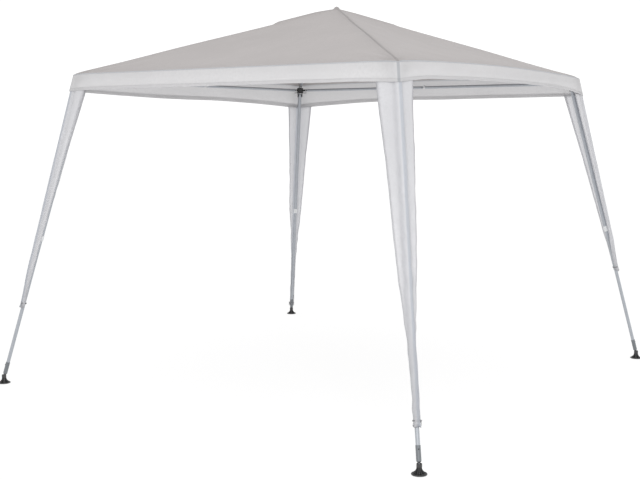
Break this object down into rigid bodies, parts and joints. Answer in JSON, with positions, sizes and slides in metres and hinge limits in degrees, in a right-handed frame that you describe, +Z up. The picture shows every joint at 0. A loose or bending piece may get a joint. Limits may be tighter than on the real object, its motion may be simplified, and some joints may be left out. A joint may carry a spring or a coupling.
{
  "type": "pop up gazebo",
  "caption": "Square folding gazebo: slant telescopic legs on swivel feet, knuckled eave rails and rafters to a central hub, pyramid fabric roof with valance and cloth leg covers.",
  "frame": {"origin": "on the ground at the centre of the four feet", "axes": "+Z up; X and Y square to the eaves, with a leg in each quadrant's diagonal"},
  "size_m": [3.07, 3.07, 2.365],
  "materials": {
    "frame_tube": "satin grey powder coat",
    "sleeve_paint": "satin blue-grey",
    "dark_plastic": "fine moulded texture",
    "roof_fabric": "coated woven cloth, warm grey",
    "cover_fabric": "coated woven cloth, semi-gloss"
  },
  "bodies": {
    "crown": {"crown_hub": "dark_plastic", "crown_cap": "dark_plastic", "canopy": "roof_fabric"},
    "rafter_inner_1": {"rafter_inner_1": "frame_tube", "rafter_knuckle_1": "dark_plastic"},
    "rafter_outer_1": {"rafter_outer_1": "frame_tube"},
    "corner_1": {"corner_bracket_1": "dark_plastic"},
    "eave_a_1": {"eave_rail_a_1": "frame_tube", "eave_knuckle_1": "dark_plastic"},
    "eave_b_1": {"eave_rail_b_1": "frame_tube"},
    "leg_upper_1": {"leg_upper_1": "frame_tube", "leg_bush_1": "dark_plastic", "leg_cover_1": "cover_fabric"},
    "leg_lower_1": {"leg_lower_1": "frame_tube", "foot_sleeve_1": "sleeve_paint"},
    "leg_button_1": {"leg_button_1": "dark_plastic"},
    "foot_1": {"foot_1": "dark_plastic"},
    "rafter_inner_2": {"rafter_inner_2": "frame_tube", "rafter_knuckle_2": "dark_plastic"},
    "rafter_outer_2": {"rafter_outer_2": "frame_tube"},
    "corner_2": {"corner_bracket_2": "dark_plastic"},
    "eave_a_2": {"eave_rail_a_2": "frame_tube", "eave_knuckle_2": "dark_plastic"},
    "eave_b_2": {"eave_rail_b_2": "frame_tube"},
    "leg_upper_2": {"leg_upper_2": "frame_tube", "leg_bush_2": "dark_plastic", "leg_cover_2": "cover_fabric"},
    "leg_lower_2": {"leg_lower_2": "frame_tube", "foot_sleeve_2": "sleeve_paint"},
    "leg_button_2": {"leg_button_2": "dark_plastic"},
    "foot_2": {"foot_2": "dark_plastic"},
    "rafter_inner_3": {"rafter_inner_3": "frame_tube", "rafter_knuckle_3": "dark_plastic"},
    "rafter_outer_3": {"rafter_outer_3": "frame_tube"},
    "corner_3": {"corner_bracket_3": "dark_plastic"},
    "eave_a_3": {"eave_rail_a_3": "frame_tube", "eave_knuckle_3": "dark_plastic"},
    "eave_b_3": {"eave_rail_b_3": "frame_tube"},
    "leg_upper_3": {"leg_upper_3": "frame_tube", "leg_bush_3": "dark_plastic", "leg_cover_3": "cover_fabric"},
    "leg_lower_3": {"leg_lower_3": "frame_tube", "foot_sleeve_3": "sleeve_paint"},
    "leg_button_3": {"leg_button_3": "dark_plastic"},
    "foot_3": {"foot_3": "dark_plastic"},
    "rafter_inner_4": {"rafter_inner_4": "frame_tube", "rafter_knuckle_4": "dark_plastic"},
    "rafter_outer_4": {"rafter_outer_4": "frame_tube"},
    "corner_4": {"corner_bracket_4": "dark_plastic"},
    "eave_a_4": {"eave_rail_a_4": "frame_tube", "eave_knuckle_4": "dark_plastic"},
    "eave_b_4": {"eave_rail_b_4": "frame_tube"},
    "leg_upper_4": {"leg_upper_4": "frame_tube", "leg_bush_4": "dark_plastic", "leg_cover_4": "cover_fabric"},
    "leg_lower_4": {"leg_lower_4": "frame_tube", "foot_sleeve_4": "sleeve_paint"},
    "leg_button_4": {"leg_button_4": "dark_plastic"},
    "foot_4": {"foot_4": "dark_plastic"}
  },
  "joints": [
    {"name": "rafter_fold_1", "type": "hinge", "parent": "crown", "child": "rafter_inner_1", "pos_m": [0.03889, 0.03889, 2.31275], "axis": [-0.7071, 0.7071, 0], "range_deg": [0, 71], "deforming": ["canopy"]},
    {"name": "rafter_knee_1", "type": "hinge", "parent": "rafter_inner_1", "child": "rafter_outer_1", "pos_m": [0.67703, 0.67703, 2.08931], "axis": [-0.7071, 0.7071, 0], "range_deg": [-175, 0]},
    {"name": "corner_swing_1", "type": "hinge", "parent": "rafter_outer_1", "child": "corner_1", "pos_m": [1.08411, 1.08411, 1.92476], "axis": [-0.7071, 0.7071, 0], "range_deg": [0, 104]},
    {"name": "eave_fold_a_1", "type": "hinge", "parent": "corner_1", "child": "eave_a_1", "pos_m": [1.063, 1.123, 1.885], "axis": [0, -1, 0], "range_deg": [0, 85.9]},
    {"name": "eave_fold_b_1", "type": "hinge", "parent": "corner_1", "child": "eave_b_1", "pos_m": [1.123, 1.063, 1.885], "axis": [1, 0, 0], "range_deg": [0, 85.9]},
    {"name": "leg_swing_1", "type": "hinge", "parent": "corner_1", "child": "leg_upper_1", "pos_m": [1.13149, 1.13149, 1.845], "axis": [-0.7071, 0.7071, 0], "range_deg": [0, 16.17]},
    {"name": "leg_extend_1", "type": "slide", "parent": "leg_upper_1", "child": "leg_lower_1", "axis": [-0.1958, -0.1958, 0.9609], "range_m": [0, 0.74], "deforming": ["leg_cover_1"]},
    {"name": "button_press_1", "type": "slide", "parent": "leg_lower_1", "child": "leg_button_1", "axis": [-0.6795, -0.6795, -0.2768], "range_m": [0, 0.0025], "stiffness_N_per_m": 500},
    {"name": "foot_tilt_1", "type": "hinge", "parent": "leg_lower_1", "child": "foot_1", "pos_m": [1.5, 1.5, 0.036], "axis": [-0.7071, 0.7071, 0], "range_deg": [-16.17, 0]},
    {"name": "rafter_fold_2", "type": "hinge", "parent": "crown", "child": "rafter_inner_2", "pos_m": [-0.03889, 0.03889, 2.31275], "axis": [-0.7071, -0.7071, 0], "range_deg": [0, 71]},
    {"name": "rafter_knee_2", "type": "hinge", "parent": "rafter_inner_2", "child": "rafter_outer_2", "pos_m": [-0.67703, 0.67703, 2.08931], "axis": [-0.7071, -0.7071, 0], "range_deg": [-175, 0]},
    {"name": "corner_swing_2", "type": "hinge", "parent": "rafter_outer_2", "child": "corner_2", "pos_m": [-1.08411, 1.08411, 1.92476], "axis": [-0.7071, -0.7071, 0], "range_deg": [0, 104]},
    {"name": "eave_fold_a_2", "type": "hinge", "parent": "corner_2", "child": "eave_a_2", "pos_m": [-1.123, 1.063, 1.885], "axis": [1, 0, 0], "range_deg": [0, 85.9]},
    {"name": "eave_fold_b_2", "type": "hinge", "parent": "corner_2", "child": "eave_b_2", "pos_m": [-1.063, 1.123, 1.885], "axis": [0, 1, 0], "range_deg": [0, 85.9]},
    {"name": "leg_swing_2", "type": "hinge", "parent": "corner_2", "child": "leg_upper_2", "pos_m": [-1.13149, 1.13149, 1.845], "axis": [-0.7071, -0.7071, 0], "range_deg": [0, 16.17]},
    {"name": "leg_extend_2", "type": "slide", "parent": "leg_upper_2", "child": "leg_lower_2", "axis": [0.1958, -0.1958, 0.9609], "range_m": [0, 0.74], "deforming": ["leg_cover_2"]},
    {"name": "button_press_2", "type": "slide", "parent": "leg_lower_2", "child": "leg_button_2", "axis": [0.6795, -0.6795, -0.2768], "range_m": [0, 0.0025], "stiffness_N_per_m": 500},
    {"name": "foot_tilt_2", "type": "hinge", "parent": "leg_lower_2", "child": "foot_2", "pos_m": [-1.5, 1.5, 0.036], "axis": [-0.7071, -0.7071, 0], "range_deg": [-16.17, 0]},
    {"name": "rafter_fold_3", "type": "hinge", "parent": "crown", "child": "rafter_inner_3", "pos_m": [-0.03889, -0.03889, 2.31275], "axis": [0.7071, -0.7071, 0], "range_deg": [0, 71]},
    {"name": "rafter_knee_3", "type": "hinge", "parent": "rafter_inner_3", "child": "rafter_outer_3", "pos_m": [-0.67703, -0.67703, 2.08931], "axis": [0.7071, -0.7071, 0], "range_deg": [-175, 0]},
    {"name": "corner_swing_3", "type": "hinge", "parent": "rafter_outer_3", "child": "corner_3", "pos_m": [-1.08411, -1.08411, 1.92476], "axis": [0.7071, -0.7071, 0], "range_deg": [0, 104]},
    {"name": "eave_fold_a_3", "type": "hinge", "parent": "corner_3", "child": "eave_a_3", "pos_m": [-1.063, -1.123, 1.885], "axis": [0, 1, 0], "range_deg": [0, 85.9]},
    {"name": "eave_fold_b_3", "type": "hinge", "parent": "corner_3", "child": "eave_b_3", "pos_m": [-1.123, -1.063, 1.885], "axis": [-1, 0, 0], "range_deg": [0, 85.9]},
    {"name": "leg_swing_3", "type": "hinge", "parent": "corner_3", "child": "leg_upper_3", "pos_m": [-1.13149, -1.13149, 1.845], "axis": [0.7071, -0.7071, 0], "range_deg": [0, 16.17]},
    {"name": "leg_extend_3", "type": "slide", "parent": "leg_upper_3", "child": "leg_lower_3", "axis": [0.1958, 0.1958, 0.9609], "range_m": [0, 0.74], "deforming": ["leg_cover_3"]},
    {"name": "button_press_3", "type": "slide", "parent": "leg_lower_3", "child": "leg_button_3", "axis": [0.6795, 0.6795, -0.2768], "range_m": [0, 0.0025], "stiffness_N_per_m": 500},
    {"name": "foot_tilt_3", "type": "hinge", "parent": "leg_lower_3", "child": "foot_3", "pos_m": [-1.5, -1.5, 0.036], "axis": [0.7071, -0.7071, 0], "range_deg": [-16.17, 0]},
    {"name": "rafter_fold_4", "type": "hinge", "parent": "crown", "child": "rafter_inner_4", "pos_m": [0.03889, -0.03889, 2.31275], "axis": [0.7071, 0.7071, 0], "range_deg": [0, 71]},
    {"name": "rafter_knee_4", "type": "hinge", "parent": "rafter_inner_4", "child": "rafter_outer_4", "pos_m": [0.67703, -0.67703, 2.08931], "axis": [0.7071, 0.7071, 0], "range_deg": [-175, 0]},
    {"name": "corner_swing_4", "type": "hinge", "parent": "rafter_outer_4", "child": "corner_4", "pos_m": [1.08411, -1.08411, 1.92476], "axis": [0.7071, 0.7071, 0], "range_deg": [0, 104]},
    {"name": "eave_fold_a_4", "type": "hinge", "parent": "corner_4", "child": "eave_a_4", "pos_m": [1.123, -1.063, 1.885], "axis": [-1, 0, 0], "range_deg": [0, 85.9]},
    {"name": "eave_fold_b_4", "type": "hinge", "parent": "corner_4", "child": "eave_b_4", "pos_m": [1.063, -1.123, 1.885], "axis": [0, -1, 0], "range_deg": [0, 85.9]},
    {"name": "leg_swing_4", "type": "hinge", "parent": "corner_4", "child": "leg_upper_4", "pos_m": [1.13149, -1.13149, 1.845], "axis": [0.7071, 0.7071, 0], "range_deg": [0, 16.17]},
    {"name": "leg_extend_4", "type": "slide", "parent": "leg_upper_4", "child": "leg_lower_4", "axis": [-0.1958, 0.1958, 0.9609], "range_m": [0, 0.74], "deforming": ["leg_cover_4"]},
    {"name": "button_press_4", "type": "slide", "parent": "leg_lower_4", "child": "leg_button_4", "axis": [-0.6795, 0.6795, -0.2768], "range_m": [0, 0.0025], "stiffness_N_per_m": 500},
    {"name": "foot_tilt_4", "type": "hinge", "parent": "leg_lower_4", "child": "foot_4", "pos_m": [1.5, -1.5, 0.036], "axis": [0.7071, 0.7071, 0], "range_deg": [-16.17, 0]}
  ],
  "couplings": [
    {"joint": "rafter_knee_1", "follows": "rafter_fold_1", "ratio": -2.464},
    {"joint": "corner_swing_1", "follows": "rafter_fold_1", "ratio": 1.464},
    {"joint": "eave_fold_a_1", "follows": "rafter_fold_1", "ratio": 1.209},
    {"joint": "eave_fold_b_1", "follows": "rafter_fold_1", "ratio": 1.209},
    {"joint": "leg_swing_1", "follows": "rafter_fold_1", "ratio": 0.2264},
    {"joint": "foot_tilt_1", "follows": "rafter_fold_1", "ratio": -0.2264},
    {"joint": "rafter_fold_2", "follows": "rafter_fold_1", "ratio": 1},
    {"joint": "rafter_knee_2", "follows": "rafter_fold_1", "ratio": -2.464},
    {"joint": "corner_swing_2", "follows": "rafter_fold_1", "ratio": 1.464},
    {"joint": "eave_fold_a_2", "follows": "rafter_fold_1", "ratio": 1.209},
    {"joint": "eave_fold_b_2", "follows": "rafter_fold_1", "ratio": 1.209},
    {"joint": "leg_swing_2", "follows": "rafter_fold_1", "ratio": 0.2264},
    {"joint": "foot_tilt_2", "follows": "rafter_fold_1", "ratio": -0.2264},
    {"joint": "rafter_fold_3", "follows": "rafter_fold_1", "ratio": 1},
    {"joint": "rafter_knee_3", "follows": "rafter_fold_1", "ratio": -2.464},
    {"joint": "corner_swing_3", "follows": "rafter_fold_1", "ratio": 1.464},
    {"joint": "eave_fold_a_3", "follows": "rafter_fold_1", "ratio": 1.209},
    {"joint": "eave_fold_b_3", "follows": "rafter_fold_1", "ratio": 1.209},
    {"joint": "leg_swing_3", "follows": "rafter_fold_1", "ratio": 0.2264},
    {"joint": "foot_tilt_3", "follows": "rafter_fold_1", "ratio": -0.2264},
    {"joint": "rafter_fold_4", "follows": "rafter_fold_1", "ratio": 1},
    {"joint": "rafter_knee_4", "follows": "rafter_fold_1", "ratio": -2.464},
    {"joint": "corner_swing_4", "follows": "rafter_fold_1", "ratio": 1.464},
    {"joint": "eave_fold_a_4", "follows": "rafter_fold_1", "ratio": 1.209},
    {"joint": "eave_fold_b_4", "follows": "rafter_fold_1", "ratio": 1.209},
    {"joint": "leg_swing_4", "follows": "rafter_fold_1", "ratio": 0.2264},
    {"joint": "foot_tilt_4", "follows": "rafter_fold_1", "ratio": -0.2264}
  ]
}
